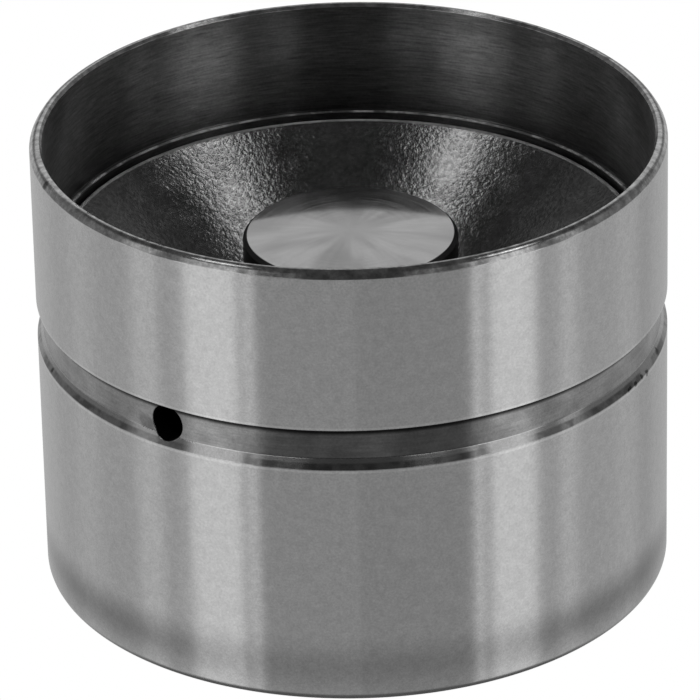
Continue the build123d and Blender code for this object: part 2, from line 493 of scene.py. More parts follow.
class Effects:
    """Node groups that more than one finish uses, each built once. Sizes going into them are in mm."""

    # Finer layers of turning marks and grain, and their strength.
    MARK_LAYERS = (3.0, 0.6)
    GRAIN_LAYERS = (2.0, 0.6)
    # The share of its reach within which a mask stays at one.
    CORE = 0.5
    # How often beading changes on a metre, and the part of its noise over which a gap closes.
    BEADS = 1100.0
    BEAD_RANGE = (0.38, 0.6)
    # An uneven edge: how often it changes on a spot's size, its layers, its share of the reach and the part
    # of its noise that this spans.
    RAGGED = 1.2
    RAGGED_LAYERS = 3.0
    RAGGED_CHANGE = 0.3
    RAGGED_RANGE = (0.3, 0.7)

    def __init__(self) -> None:
        """Builds all groups."""
        self.turning = self._turning()
        self.speckle = self._speckle()
        self.ring = self._ring()
        self.spot = self._spot()

    @staticmethod
    def _start(name: str, vectors: Sequence[str], numbers: Sequence[str]) -> tuple[Sheet, list[Socket], Node]:
        """Starts a group with one number for its output.

        Args:
            name: the group's name.
            vectors: the names of its inputs that are vectors.
            numbers: the names of the others.

        Returns:
            The group's sheet, what its inputs give, in order, and its output node.
        """
        tree = bpy.data.node_groups.new(name, "ShaderNodeTree")
        for labels, kind in ((vectors, "NodeSocketVector"), (numbers, "NodeSocketFloat")):
            for label in labels:
                tree.interface.new_socket(label, in_out="INPUT", socket_type=kind)
        tree.interface.new_socket("Value", in_out="OUTPUT", socket_type="NodeSocketFloat")
        sheet = Sheet(tree)
        given = sheet.node("NodeGroupInput").outputs
        return sheet, [given[label] for label in (*vectors, *numbers)], sheet.node("NodeGroupOutput")

    def _turning(self) -> Tree:
        """Marks that run round the axis: noise on (x / length, y / length, z / width)."""
        sheet, (place, length, width), out = self._start("turning_marks", ("Place",), ("Length", "Width"))
        along = sheet.math("DIVIDE", PER_MM, length)
        across = sheet.math("DIVIDE", PER_MM, width)
        scales = (along, along, across)
        parts = [sheet.math("MULTIPLY", part, scale) for part, scale in zip(sheet.split(place), scales)]
        sheet.feed(out.inputs["Value"], sheet.noise(sheet.join(*parts), 1.0, *self.MARK_LAYERS))
        return sheet.tree

    def _speckle(self) -> Tree:
        """Fine grain: noise with one grain to each size, spread by a contrast about one half."""
        sheet, (place, size, contrast), out = self._start("fine_speckle", ("Place",), ("Size", "Contrast"))
        grain = sheet.noise(place, sheet.math("DIVIDE", PER_MM, size), *self.GRAIN_LAYERS)
        off = sheet.math("SUBTRACT", grain, NOISE_MIDDLE)
        sheet.feed(out.inputs["Value"], sheet.math("MULTIPLY_ADD", off, contrast, NOISE_MIDDLE, clamp=True))
        return sheet.tree

    def _ring(self) -> Tree:
        """A ring along an edge, for painted highlight lines and for grime: one on a circle at a height,
        nought at a reach from it, broken up by beading.
        """
        sheet, (place, radius, height, reach, beading), out = self._start(
            "highlight_and_grime_ring", ("Place",), ("Radius", "Height", "Reach", "Beading"))
        x, y, z = sheet.split(place)
        from_axis = sheet.measure("LENGTH", sheet.join(x, y, 0.0))
        out_by = sheet.math("SUBTRACT", sheet.math("MULTIPLY", from_axis, PER_MM), radius)
        up_by = sheet.math("SUBTRACT", sheet.math("MULTIPLY", z, PER_MM), height)
        away = sheet.measure("LENGTH", sheet.join(out_by, up_by, 0.0))
        mask = sheet.spread(away, sheet.math("MULTIPLY", reach, self.CORE), reach, 1.0, 0.0)
        gaps = sheet.spread(sheet.noise(place, self.BEADS), *self.BEAD_RANGE, 1.0, 0.0)
        kept = sheet.math("SUBTRACT", 1.0, sheet.math("MULTIPLY", beading, gaps))
        sheet.feed(out.inputs["Value"], sheet.math("MULTIPLY", mask, kept))
        return sheet.tree

    def _spot(self) -> Tree:
        """A small mark: one at a centre, nought at a size from it, with an uneven edge."""
        sheet, (place, centre, size), out = self._start("small_spot", ("Place", "Centre"), ("Size",))
        away = sheet.measure("DISTANCE", place, centre)
        uneven = sheet.noise(place, sheet.math("DIVIDE", PER_MM * self.RAGGED, size), self.RAGGED_LAYERS)
        whole = sheet.math("MULTIPLY", size, MM)
        reach = sheet.vary(whole, uneven, self.RAGGED_CHANGE, *self.RAGGED_RANGE)
        mask = sheet.spread(away, sheet.math("MULTIPLY", reach, self.CORE), reach, 1.0, 0.0)
        sheet.feed(out.inputs["Value"], mask)
        return sheet.tree


@dataclass(frozen=True)
class HighlightAndGrimeRing:
    """A ring along an edge for a painted highlight line, and also for grime: its radius, height and reach in
    mm, and how broken it is.
    """

    radius: float
    height: float
    reach: float
    beading: float = 0.0


@dataclass(frozen=True)
class Spot:
    """A small place on a wall that looks different, such as a nick or stain: angle, height and size."""

    angle: float
    height: float
    size: float

    def centre(self, radius: float) -> tuple[float, float, float]:
        """The spot's place in metres on a wall of a radius in mm."""
        turn = math.radians(self.angle)
        return radius * MM * math.cos(turn), radius * MM * math.sin(turn), self.height * MM


class Coat(Sheet):
    """The sheet of one finish: it also has the shader, the place on the piece and the shared effects."""

    # The pale grey of a painted highlight line, which has no metal look.
    HIGHLIGHT_GREY = 0.9

    def __init__(self, tree: Tree, effects: Effects) -> None:
        """Starts with a Principled shader that feeds the material's output."""
        super().__init__(tree)
        self.effects = effects
        self.place = self.node("ShaderNodeTexCoord").outputs["Object"]
        self.shader = self.node("ShaderNodeBsdfPrincipled")
        self.node("ShaderNodeOutputMaterial", self.shader.outputs[0])

    def paint(self, name: str, value: object) -> None:
        """Feeds one of the shader's inputs."""
        self.feed(self.shader.inputs[name], value)

    def marks(self, length: float, width: float) -> Socket:
        """Turning marks of a length and a width."""
        return self.group(self.effects.turning, Place=self.place, Length=length, Width=width)

    def speckle(self, size: float, contrast: float) -> Socket:
        """Grain of a size and a contrast."""
        return self.group(self.effects.speckle, Place=self.place, Size=size, Contrast=contrast)

    def highlight_and_grime_rings(self, edges: Sequence[HighlightAndGrimeRing]) -> object:
        """Sums the masks of edge rings: painted highlight lines, and grime.

        Args:
            edges: the edges.

        Returns:
            The summed mask, clamped, or nought without edges.
        """
        total: object = 0.0
        for edge in edges:
            mask = self.group(self.effects.ring, Place=self.place, Radius=edge.radius, Height=edge.height,
                              Reach=edge.reach, Beading=edge.beading)
            total = self.math("ADD", total, mask, clamp=True)
        return total

    def spotted(self, level: object, spots: Sequence[Spot], radius: float, change: float) -> object:
        """Changes a level in spots.

        Args:
            level: the level.
            spots: the spots.
            radius: the radius of the wall that they lie on.
            change: the share of the level by which it changes there.

        Returns:
            The changed level.
        """
        for spot in spots:
            mask = self.group(self.effects.spot, Place=self.place, Centre=spot.centre(radius), Size=spot.size)
            level = self.shade(level, mask, change)
        return level

    def paint_highlight_lines(self, highlight_lines: object, colour: Socket) -> None:
        """Paints a colour that turns pale and loses its metal look on painted highlight lines."""
        self.paint("Base Color", self.blend(highlight_lines, colour, grey(self.HIGHLIGHT_GREY)))
        self.paint("Metallic", self.math("SUBTRACT", 1.0, highlight_lines))

    def bump(self, height: Socket, depth: float) -> None:
        """Feeds a height, in units of a depth in mm, to the shader's normal."""
        made = self.node("ShaderNodeBump")
        for name, value in (("Strength", 1.0), ("Distance", depth * MM), ("Height", height)):
            self.feed(made.inputs[name], value)
        self.paint("Normal", made.outputs[0])


@dataclass(frozen=True)
class Finish:
    """Base of the finishes: a named metal with a Principled shader."""

    name: str
    colour: tuple[float, float, float]
    roughness: float
    anisotropy: float = 0.0

    def material(self, effects: Effects) -> Material:
        """Makes the material.

        Args:
            effects: the shared node groups.

        Returns:
            The material.
        """
        material = bpy.data.materials.new(self.name)
        material.use_nodes = True
        coat = Coat(material.node_tree, effects)
        coat.paint("Metallic", 1.0)
        coat.paint("Anisotropic", self.anisotropy)
        if self.anisotropy:
            coat.paint("Anisotropic Rotation", MARKS_ROUND)
            tangent = coat.node("ShaderNodeTangent", direction_type="RADIAL", axis="Z")
            coat.paint("Tangent", tangent.outputs[0])
        self.cover(coat)
        return material

    def cover(self, coat: Coat) -> None:
        """Paints colour, roughness and relief; each finish has its own."""
        raise NotImplementedError


@dataclass(frozen=True)
class GroundSteel(Finish):
    """Centreless-ground steel: fine marks, painted shade in a band near the crown that is darker at the sides
    seen from the camera, a mottled rim, painted highlight lines at the groove's edges, grime and nicks.
    """

    wall_radius: float = 17.5
    mark_length: float = 0.35
    mark_width: float = 0.09
    mark_depth: float = 0.0002
    mark_change: float = 0.03
    grain_size: float = 0.12
    grain_contrast: float = 2.0
    grain_change: float = 0.1
    # Painted shade: a darker band round the crown, darker still at the sides seen from the camera, for the
    # floor's shade seen in the wall.
    shade_band_height: float = 2.1
    shade_band_reach: float = 2.1
    shade_band_change: float = -0.26
    shade_band_side_change: float = -0.46
    shade_band_sides_from: tuple[float, float] = (6.0, 13.0)
    mottle_size: float = 0.5
    mottle_contrast: float = 3.0
    mottle_change: float = 0.1
    rim_mottle_change: float = 0.7
    rim_from: tuple[float, float] = (25.55, 25.7)
    # Painted highlight: lighter lines along the groove's edges.
    edges: tuple[HighlightAndGrimeRing, ...] = ()
    edge_highlight_change: float = 0.18
    grime: tuple[HighlightAndGrimeRing, ...] = ()
    grime_change: float = -0.6
    wiped: tuple[Spot, ...] = ()
    nicks: tuple[Spot, ...] = ()
    nick_change: float = -0.75

    def cover(self, coat: Coat) -> None:
        """Paints the outside of the cup."""
        marks = coat.marks(self.mark_length, self.mark_width)
        grain = coat.speckle(self.grain_size, self.grain_contrast)
        mottle = coat.speckle(self.mottle_size, self.mottle_contrast)
        x, _, z = coat.split(coat.place)
        height = coat.math("MULTIPLY", z, PER_MM)
        aside = coat.math("MULTIPLY", coat.math("ABSOLUTE", x), PER_MM)
        # Painted shade band near the crown, stronger away from the middle as seen from the camera.
        from_shade_band = coat.math("ABSOLUTE", coat.math("SUBTRACT", height, self.shade_band_height))
        shade_band = coat.spread(from_shade_band, 0.0, self.shade_band_reach, 1.0, 0.0)
        shade_band_change = coat.spread(aside, *self.shade_band_sides_from, self.shade_band_change, self.shade_band_side_change)
        rim_change = coat.spread(height, *self.rim_from, self.mottle_change, self.rim_mottle_change)
        grime = coat.spotted(coat.highlight_and_grime_rings(self.grime), self.wiped, self.wall_radius, -1.0)

        level = coat.vary(1.0, marks, self.mark_change, *MARK_RANGE)
        level = coat.vary(level, grain, self.grain_change)
        level = coat.shade(level, shade_band, shade_band_change)
        level = coat.shade(level, coat.math("SUBTRACT", mottle, NOISE_MIDDLE), rim_change)
        # Painted highlight lines along the groove's edges.
        level = coat.shade(level, coat.highlight_and_grime_rings(self.edges), self.edge_highlight_change)
        level = coat.shade(level, grime, self.grime_change)
        level = coat.spotted(level, self.nicks, self.wall_radius, self.nick_change)
        coat.paint("Base Color", coat.tint(self.colour, level))
        coat.paint("Roughness", coat.vary(self.roughness, grain, -self.grain_change))
        coat.bump(marks, self.mark_depth)


@dataclass(frozen=True)
class DarkBore(Finish):
    """Oxide-dark turned steel: marks round the axis, stains, painted shade towards the corner at one end and
    painted highlight lines on edges.
    """

    wall_radius: float = 17.15
    mark_length: float = 1.3
    mark_width: float = 0.11
    mark_depth: float = 0.004
    streaks: float = 0.4
    grain_size: float = 0.14
    grain_contrast: float = 2.0
    grain_change: float = 0.15
    grain_share: float = 0.5
    cloud_size: float = 1.5
    cloud_contrast: float = 1.6
    clouds: float = 0.15
    # Painted shade: darker towards a corner, between these heights.
    corner_shade: float = 0.75
    corner_shade_between: tuple[float, float] = (19.4, 21.0)
    # Painted highlight: pale lines on edges.
    edges: tuple[HighlightAndGrimeRing, ...] = ()
    edge_roughness: float = 0.45
    stains: tuple[Spot, ...] = ()
    stain_change: float = -0.36

    def cover(self, coat: Coat) -> None:
        """Paints a turned wall."""
        marks = coat.marks(self.mark_length, self.mark_width)
        grain = coat.speckle(self.grain_size, self.grain_contrast)
        cloud = coat.speckle(self.cloud_size, self.cloud_contrast)
        height = coat.math("MULTIPLY", coat.split(coat.place)[2], PER_MM)
        corner_shade_mask = coat.spread(height, *self.corner_shade_between, 1.0, 0.0, "LINEAR")
        highlight_lines = coat.highlight_and_grime_rings(self.edges)

        level = coat.vary(1.0, marks, self.streaks, *MARK_RANGE)
        level = coat.vary(level, grain, self.grain_change)
        level = coat.vary(level, cloud, self.clouds)
        level = coat.spotted(level, self.stains, self.wall_radius, self.stain_change)
        # Painted shade near the corner.
        level = coat.shade(level, corner_shade_mask, -self.corner_shade)
        # Painted highlight lines turn pale grey and lose the metal look.
        coat.paint_highlight_lines(highlight_lines, coat.tint(self.colour, level))
        coat.paint("Roughness", coat.spread(highlight_lines, 0.0, 1.0, self.roughness, self.edge_roughness, "LINEAR"))
        coat.bump(coat.math("MULTIPLY_ADD", grain, self.grain_share, marks), self.mark_depth)


@dataclass(frozen=True)
class Phosphate(Finish):
    """Phosphated steel: dark and satin, with a leathery grain in colour and height, and a painted highlight
    line on its rim.
    """

    grain_size: float = 0.24
    grain_contrast: float = 2.4
    grain_change: float = 0.3
    grain_depth: float = 0.011
    patch_size: float = 1.44
    patch_contrast: float = 2.0
    patch_change: float = 0.2
    patch_gloss: float = 0.15
    patch_relief: float = 0.4
    # Painted highlight: a pale line on the funnel's rounded rim.
    edges: tuple[HighlightAndGrimeRing, ...] = ()
    edge_roughness: float = 0.35
    polished: tuple[Spot, ...] = ()
    polished_radius: float = 14.3
    polished_change: float = -0.45

    def cover(self, coat: Coat) -> None:
        """Paints the funnel."""
        fine = coat.speckle(self.grain_size, self.grain_contrast)
        coarse = coat.speckle(self.patch_size, self.patch_contrast)
        level = coat.vary(coat.vary(1.0, fine, self.grain_change), coarse, self.patch_change)
        # Painted highlight line on the funnel's rim: pale and not metal.
        highlight_lines = coat.highlight_and_grime_rings(self.edges)
        coat.paint_highlight_lines(highlight_lines, coat.tint(self.colour, level))
        rough = coat.vary(self.roughness, coarse, self.patch_gloss)
        coat.paint("Roughness", coat.math("MULTIPLY_ADD", highlight_lines, self.edge_roughness, rough))
        relief = coat.vary(1.0, coarse, self.patch_relief)
        relief = coat.spotted(relief, self.polished, self.polished_radius, self.polished_change)
        coat.bump(coat.math("MULTIPLY", fine, relief), self.grain_depth)


@dataclass(frozen=True)
class Streaks:
    """Streaks that fan out from the axis: drift along them, how many, their layers and their strength."""

    drift: float
    scale: float
    detail: float
    rough: float
    change: float


@dataclass(frozen=True)
class FacedSteel(Finish):
    """A ground end face: rings round the axis and streaks that fan out from it."""

    ring_width: float = 0.014
    ring_range: tuple[float, float] = (0.48, 0.62)
    smooth_ring: float = 0.05
    streaks: tuple[Streaks, ...] = (Streaks(60.0, 6.0, 4.0, 0.6, 0.05), Streaks(90.0, 2.0, 1.5, 0.4, 0.17))
    streak_range: tuple[float, float] = (0.33, 0.67)
    fades_within: tuple[float, float] = (0.4, 2.6)

    def cover(self, coat: Coat) -> None:
        """Paints the face: noise on (radius / width, cos, sin) for rings, on the direction for streaks."""
        x, y, _ = coat.split(coat.place)
        radius = coat.math("MAXIMUM", coat.measure("LENGTH", coat.join(x, y, 0.0)), TINY)
        cosine, sine = coat.math("DIVIDE", x, radius), coat.math("DIVIDE", y, radius)
        across = coat.math("MULTIPLY", radius, PER_MM / self.ring_width)
        rings = coat.noise(coat.join(across, cosine, sine), 1.0)
        reach = coat.spread(radius, *(limit * MM for limit in self.fades_within))
        level: object = 1.0
        for item in self.streaks:
            place = coat.join(cosine, sine, coat.math("MULTIPLY", radius, item.drift))
            streak = coat.noise(place, item.scale, item.detail, item.rough)
            swing = coat.spread(streak, *self.streak_range, -1.0, 1.0)
            level = coat.shade(level, swing, coat.math("MULTIPLY", reach, item.change))
        coat.paint("Base Color", coat.tint(self.colour, level))
        coat.paint("Roughness", coat.spread(rings, *self.ring_range, self.smooth_ring, self.roughness))


@dataclass(frozen=True)
class PlainSteel(Finish):
    """Small inner steel pieces: light grain and a slight change of gloss."""

    grain_size: float = 0.2
    grain_contrast: float = 1.5
    grain_change: float = 0.12
    grain_gloss: float = 0.1
    grain_depth: float = 0.002

    def cover(self, coat: Coat) -> None:
        """Paints a piece evenly."""
        grain = coat.speckle(self.grain_size, self.grain_contrast)
        coat.paint("Base Color", coat.tint(self.colour, coat.vary(1.0, grain, self.grain_change)))
        coat.paint("Roughness", coat.vary(self.roughness, grain, self.grain_gloss))
        coat.bump(grain, self.grain_depth)


FINISHES: tuple[Finish, ...] = (
    GroundSteel(
        "ground_steel", (0.56, 0.56, 0.56), 0.16, 1.0,
        # Painted highlight lines at the groove's upper and lower edges.
        edges=(HighlightAndGrimeRing(17.5, 16.7, 0.1), HighlightAndGrimeRing(17.5, 14.13, 0.1)),
        grime=(HighlightAndGrimeRing(17.42, 14.4, 0.26, beading=0.5),),
        wiped=(Spot(245.0, 14.5, 2.3), Spot(298.0, 14.5, 2.0), Spot(337.0, 14.5, 1.2)),
        nicks=(
            Spot(344.0, 14.5, 0.35), Spot(336.5, 14.25, 0.25), Spot(334.25, 14.35, 0.2),
            Spot(331.5, 14.3, 0.22), Spot(329.5, 14.35, 0.16), Spot(328.75, 14.3, 0.15),
            Spot(200.0, 15.1, 0.3), Spot(198.25, 14.5, 0.25), Spot(204.25, 14.9, 0.2),
            Spot(199.0, 25.9, 0.4),
        ),
    ),
    DarkBore(
        "groove_steel", (0.32, 0.32, 0.32), 0.22, 0.9, mark_length=2.0, mark_depth=0.001, streaks=0.14,
        # Painted shade: darker towards the groove's upper corner, under its overhang.
        clouds=0.28, corner_shade=0.76, corner_shade_between=(16.29, 16.14),
        stains=(
            Spot(272.0, 15.5, 9.0), Spot(262.0, 15.2, 4.0), Spot(284.0, 15.3, 3.5), Spot(229.3, 15.1, 0.7),
        ),
    ),
    # Painted shade darkens the bore towards the ledge, by the default heights.
    DarkBore(
        "dark_bore", (0.42, 0.42, 0.42), 0.29, 1.0,
        # Painted highlight lines on the ledge's bead and the rim's inner edge.
        edges=(HighlightAndGrimeRing(16.4, 19.47, 0.17, beading=0.7), HighlightAndGrimeRing(16.9, 26.0, 0.1)),
    ),
    Phosphate(
        # Painted highlight line on the funnel's rounded rim.
        "phosphate", (0.24, 0.24, 0.24), 0.2, edges=(HighlightAndGrimeRing(15.94, 19.13, 0.17, beading=0.3),),
        polished=(Spot(65.0, 18.0, 2.6), Spot(68.0, 16.6, 1.8)),
    ),
    FacedSteel("faced_steel", (0.51, 0.51, 0.51), 0.13, 1.0),
    # Painted shade: near-black steel on the feed hole's wall and the inner housing's side.
    PlainSteel("painted_shade_steel", (0.08, 0.08, 0.08), 0.4),
    PlainSteel("plain_steel", (0.5, 0.5, 0.51), 0.3),
    PlainSteel("drawn_wire", (0.36, 0.36, 0.38), 0.26, grain_size=0.1),
    PlainSteel("pressed_sheet", (0.44, 0.44, 0.44), 0.38, grain_size=0.3),
    PlainSteel("polished_ball", (0.6, 0.6, 0.61), 0.08, grain_size=0.05),
)


def dress(piece: Piece, materials: Sequence[Material]) -> None:
    """Gives a piece its materials, in the order of its slots, in place of those it has.

    Args:
        piece: the piece.
        materials: one material for each slot.
    """
    for index, material in enumerate(materials):
        if index < len(piece.data.materials):
            piece.data.materials[index] = material
        else:
            piece.data.materials.append(material)


@dataclass
class Assembly:
    """A new piece in a CAD node's stead, with the body it rides on, its slot's name and its finishes."""

    body: ClassVar[Body]
    node: ClassVar[str]
    slot: ClassVar[str]
    finishes: ClassVar[tuple[str, ...]]

    def build(self) -> Piece:
        """Makes the piece's mesh; each piece has its own way."""
        raise NotImplementedError

    def make(self, materials: dict[str, Material]) -> None:
        """Builds and dresses the piece, lets it ride on its body and reports it.

        Args:
            materials: all materials by name.
        """
        piece = self.build()
        dress(piece, [materials[name] for name in self.finishes])
        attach(piece, self.body.value)
        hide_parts(self.node)
        LOG.info("%s: %d faces for %s", piece.name, len(piece.data.polygons), self.node)


@dataclass
class BucketShell(Assembly):
    """The cup: crown, skirt, oil groove with its feed hole, mouth bore and shoulder.

    The fields named patch are about the gap in both walls that the feed hole's rings fill. Margins are how
    far off a point may lie and still count, and spacings the longest runs between points. The ground finish
    covers as many rows of faces as the outer outline has points, and rim_rows more.
    """

    body = Body.BUCKET
    node = "bucket_shell"
    slot = "ground_steel"
    finishes = ("ground_steel", "dark_bore", "groove_steel", "painted_shade_steel")

    outer_radius: float = 17.5
    height: float = 26.0
    crown: float = 2.6
    crown_edge: float = 0.5
    rim_chamfer: tuple[float, float] = (0.25, 0.4)
    rim_inner_chamfer: float = 0.15
    rim_round: float = 0.38
    rim_outer_round: float = 0.12
    rim_inner_round: float = 0.05
    rim_step: float = 0.02
    rim_rows: int = 8
    mouth_radius: float = 16.8
    mouth_depth: float = 1.3
    relief: float = 2.4
    relief_round: float = 8.0
    skirt_radius: float = 16.62
    seat_radius: float = 16.25
    shoulder: float = 19.44
    shoulder_round: float = 0.1
    bead_radius: float = 16.4
    bead: float = 0.05
    bead_round: float = 0.0475
    groove_top: float = 16.6
    groove_bottom: float = 14.25
    groove_depth: float = 0.35
    groove_lower_edge: float = 0.08
    groove_upper_edge: float = 0.05
    flank_height: float = 0.55
    flank_foot_radius: float = 0.25
    flank_shares: tuple[float, ...] = (0.25, 0.5, 0.7)
    floor_rises: tuple[float, ...] = (0.2, 0.3, 0.42, 0.56)
    groove_corner: float = 0.33
    groove_floor_low: float = 14.8
    hole_radius: float = 1.05
    hole_height: float = 15.47
    hole_edge: float = 0.06
    hole_angle: float = 234.1
    hole_bends: tuple[float, ...] = (30.0, 60.0, 90.0)
    patch_heights: tuple[float, float] = (14.33, 16.556)
    patch_columns: int = 6
    patch_rings: int = 20
    patch_margin: float = 0.05
    edge_margin: float = 0.002
    wall_margin: float = 0.01
    outer_spacing: float = 0.9
    underside_spacing: float = 0.3
    underside_reach: float = 12.0
    crown_corner: float = 1.2
    slot_width: float = 3.0
    slot_depth: float = 0.5
    slot_reach: float = 9.5
    slot_softness: float = 0.15

    def outside(self) -> Outline:
        """The outline from the middle of the cam face, up the skirt and half across the rim."""
        out, floor = self.outer_radius, self.outer_radius - self.groove_depth
        foot = self.groove_bottom + self.flank_height
        low = self.patch_heights[0]
        flank = floor + (foot - low) / self.flank_height * self.groove_depth
        across = self.mouth_radius + self.rim_inner_chamfer + self.rim_step
        run, rise = floor - flank, foot - low
        corners = [
            Corner(0, 0),
            Corner(out, 0, self.crown_edge),
            Corner(out, self.groove_bottom, self.groove_lower_edge),
            Corner(flank, low),
            *[Corner(flank + run * share, low + rise * share) for share in self.flank_shares],
            Corner(floor, foot, self.flank_foot_radius),
            *[Corner(floor, foot + height) for height in self.floor_rises],
            Corner(floor, self.groove_top, self.groove_corner),
            Corner(out, self.groove_top, self.groove_upper_edge),
            Corner(out, self.height - self.rim_chamfer[1], self.rim_outer_round),
            Corner(out - self.rim_chamfer[0], self.height, self.rim_round),
            Corner(across, self.height),
        ]
        return rounded_outline(corners).subdivided(self.outer_spacing)

    def inside(self, heights: np.ndarray) -> Outline:
        """The outline from the rim, down the inner wall and across the crown's underside.

        Args:
            heights: heights from the top down at which the seat bore has points, for the hole's patch.

        Returns:
            The outline.
        """
        start = self.outside().points[-1]
        relief = self.height - self.mouth_depth
        corners = [
            Corner(start[0], start[1]),
            Corner(self.mouth_radius + self.rim_inner_chamfer, self.height, self.rim_inner_round),
            Corner(self.mouth_radius, self.height - self.rim_inner_chamfer, self.rim_inner_round),
            Corner(self.mouth_radius, relief, self.relief_round),
            Corner(self.skirt_radius, relief - self.relief, self.relief_round),
            Corner(self.skirt_radius, self.shoulder, self.shoulder_round),
            Corner(self.bead_radius + self.bead, self.shoulder),
            Corner(self.bead_radius + self.bead, self.shoulder + self.bead, self.bead_round),
            Corner(self.bead_radius - self.bead, self.shoulder + self.bead, self.bead_round),
            Corner(self.bead_radius - self.bead, self.shoulder),
            Corner(self.seat_radius, self.shoulder),
            *[Corner(self.seat_radius, height) for height in heights],
            Corner(self.seat_radius, self.crown, self.crown_corner),
            Corner(0, self.crown),
        ]
        return rounded_outline(corners)

    def build(self) -> Piece:
        """Makes the shell as one closed skin, with the oil slot sunk into the crown's underside."""
        outside = self.outside()
        low, high = self.patch_heights
        heights = outside.points[:, 1]
        steep = outside.points[:, 0] < self.outer_radius - self.wall_margin
        picked = np.flatnonzero(steep & (heights > low - TINY) & (heights < high + TINY))
        inside = self.inside(heights[picked][::-1])
        floor_start = len(inside.points) - 1
        underside = inside.part(floor_start - 1).subdivided(self.underside_spacing)
        inside = inside.part(0, floor_start).joined(underside)
        whole = outside.joined(inside)
        skin = Skin()
        angles = circle_angles(self.hole_angle - self.patch_columns)
        body = whole.part(1, -1)
        rows = turned_rows(skin, body, angles)
        first, last = picked[0] - 1, picked[-1] - 1
        on_seat = np.abs(inside.points[:, 0] - self.seat_radius) < TINY
        on_seat &= (inside.points[:, 1] > low - TINY) & (inside.points[:, 1] < high + TINY)
        inner = len(outside.points) - 2 + np.flatnonzero(on_seat)
        keep = np.ones((rows.shape[0] - 1, rows.shape[1] - 1), bool)
        columns = 2 * self.patch_columns
        keep[first:last, :columns] = False
        keep[inner[0]:inner[-1], :columns] = False
        rim_end = len(outside.points) + self.rim_rows
        slot = np.where(np.arange(rows.shape[0] - 1) < rim_end, ShellSlot.GROUND, ShellSlot.BORE)
        middle = (body.points[:-1] + body.points[1:]) / 2
        depth = self.outer_radius - middle[:, 0]
        in_groove = (depth > self.edge_margin) & (depth < self.groove_depth + self.patch_margin)
        in_groove &= middle[:, 1] > self.groove_floor_low
        in_groove &= middle[:, 1] < self.groove_top + self.wall_margin
        slot[in_groove] = ShellSlot.GROOVE
        skin.weave(rows, slot, keep)
        close_poles(skin, whole, rows, (ShellSlot.GROUND, ShellSlot.BORE))
        self.drill(skin, rows, (first, last), inner, columns, body)
        self.sink_slot(skin, body)
        return skin.mesh("bucket_shell_skin")

    def hole_parts(self, places: np.ndarray) -> tuple[np.ndarray, np.ndarray]:
        """Parts of places along the hole's axis, x cos a + y sin a, and across it, y cos a - x sin a."""
        turn = math.radians(self.hole_angle)
        along = places[:, 0] * math.cos(turn) + places[:, 1] * math.sin(turn)
        across = places[:, 1] * math.cos(turn) - places[:, 0] * math.sin(turn)
        return along, across

    def drill(self, skin: Skin, rows: np.ndarray, outer: tuple[int, int], inner: np.ndarray, columns: int,
              body: Outline) -> None:
        """Joins the gaps in the outer and inner wall by the feed hole.

        On each wall, rings run from the gap's edge to the hole: edge * (1 - t) + circle * t, in the tangent's
        and Z's direction, and lie on the wall's own radius at their height. Between the walls, rings of the
        hole's radius run along its axis, with rounded ends.

        Args:
            skin: the skin that takes the hole.
            rows: the turned vertices.
            outer: first and last row of the gap in the groove.
            inner: the rows of the gap in the seat bore.
            columns: the last column of both gaps.
            body: the outline of the turned vertices.
        """
        def edge(bottom: int, top: int) -> np.ndarray:
            """Vertex numbers round a gap, anticlockwise seen from outside, closed."""
            step = 1 if top > bottom else -1
            side = np.arange(bottom, top + step, step)
            across = np.arange(0, columns + 1)
            back, down = across[::-1][1:], side[::-1][1:]
            return np.concatenate(
                [rows[bottom, across], rows[side[1:], columns], rows[top, back], rows[down, 0]])

        def local(numbers: np.ndarray) -> np.ndarray:
            """Tangent's and Z's part of vertices, seen along the hole's axis."""
            places = np.vstack(skin.points)[numbers]
            return np.stack([self.hole_parts(places)[1], places[:, 2]], axis=1)

        def on_wall(flat: np.ndarray, wall: Outline) -> tuple[np.ndarray, np.ndarray]:
            """Lays flat places on a wall: along is the root of radius squared less tangent's part squared.

            Args:
                flat: tangent's and Z's parts of places.
                wall: the wall's outline.

            Returns:
                Places and normals, with the hole's axis first.
            """
            order = np.argsort(wall.points[:, 1])
            height = wall.points[order, 1]
            radius = np.interp(flat[..., 1], height, wall.points[order, 0])
            out = np.interp(flat[..., 1], height, wall.normals[order, 0])
            up = np.interp(flat[..., 1], height, wall.normals[order, 1])
            along = np.sqrt(radius ** 2 - flat[..., 0] ** 2)
            swing = np.arctan2(flat[..., 0], along)
            places = np.stack([along, flat[..., 0], flat[..., 1]], axis=-1)
            normals = np.stack([out * np.cos(swing), out * np.sin(swing), up], axis=-1)
            return places, normals

        turn = math.radians(self.hole_angle)
        cos, sin = math.cos(turn), math.sin(turn)
        spin = np.array([[cos, -sin, 0], [sin, cos, 0], [0, 0, 1]])
        outer_edge, inner_edge = edge(*outer), edge(int(inner[-1]), int(inner[0]))
        centre = np.array([0, self.hole_height])
        flat_edge = local(outer_edge)
        angle = np.arctan2(flat_edge[:, 1] - centre[1], flat_edge[:, 0])
        ring = np.stack([np.cos(angle), np.sin(angle)], axis=1)
        mouth = centre + ring * self.hole_radius
        share = np.linspace(0, 1, self.patch_rings + 1)[1:, None, None]
        outer_rings = on_wall(flat_edge * (1 - share) + mouth * share, body.part(outer[0], outer[1] + 1))
        inner_rings = on_wall(
            local(inner_edge) * (1 - share) + mouth * share, body.part(inner[0], inner[-1] + 1))
        inwards = np.stack([np.zeros(len(ring)), -ring[:, 0], -ring[:, 1]], axis=1)

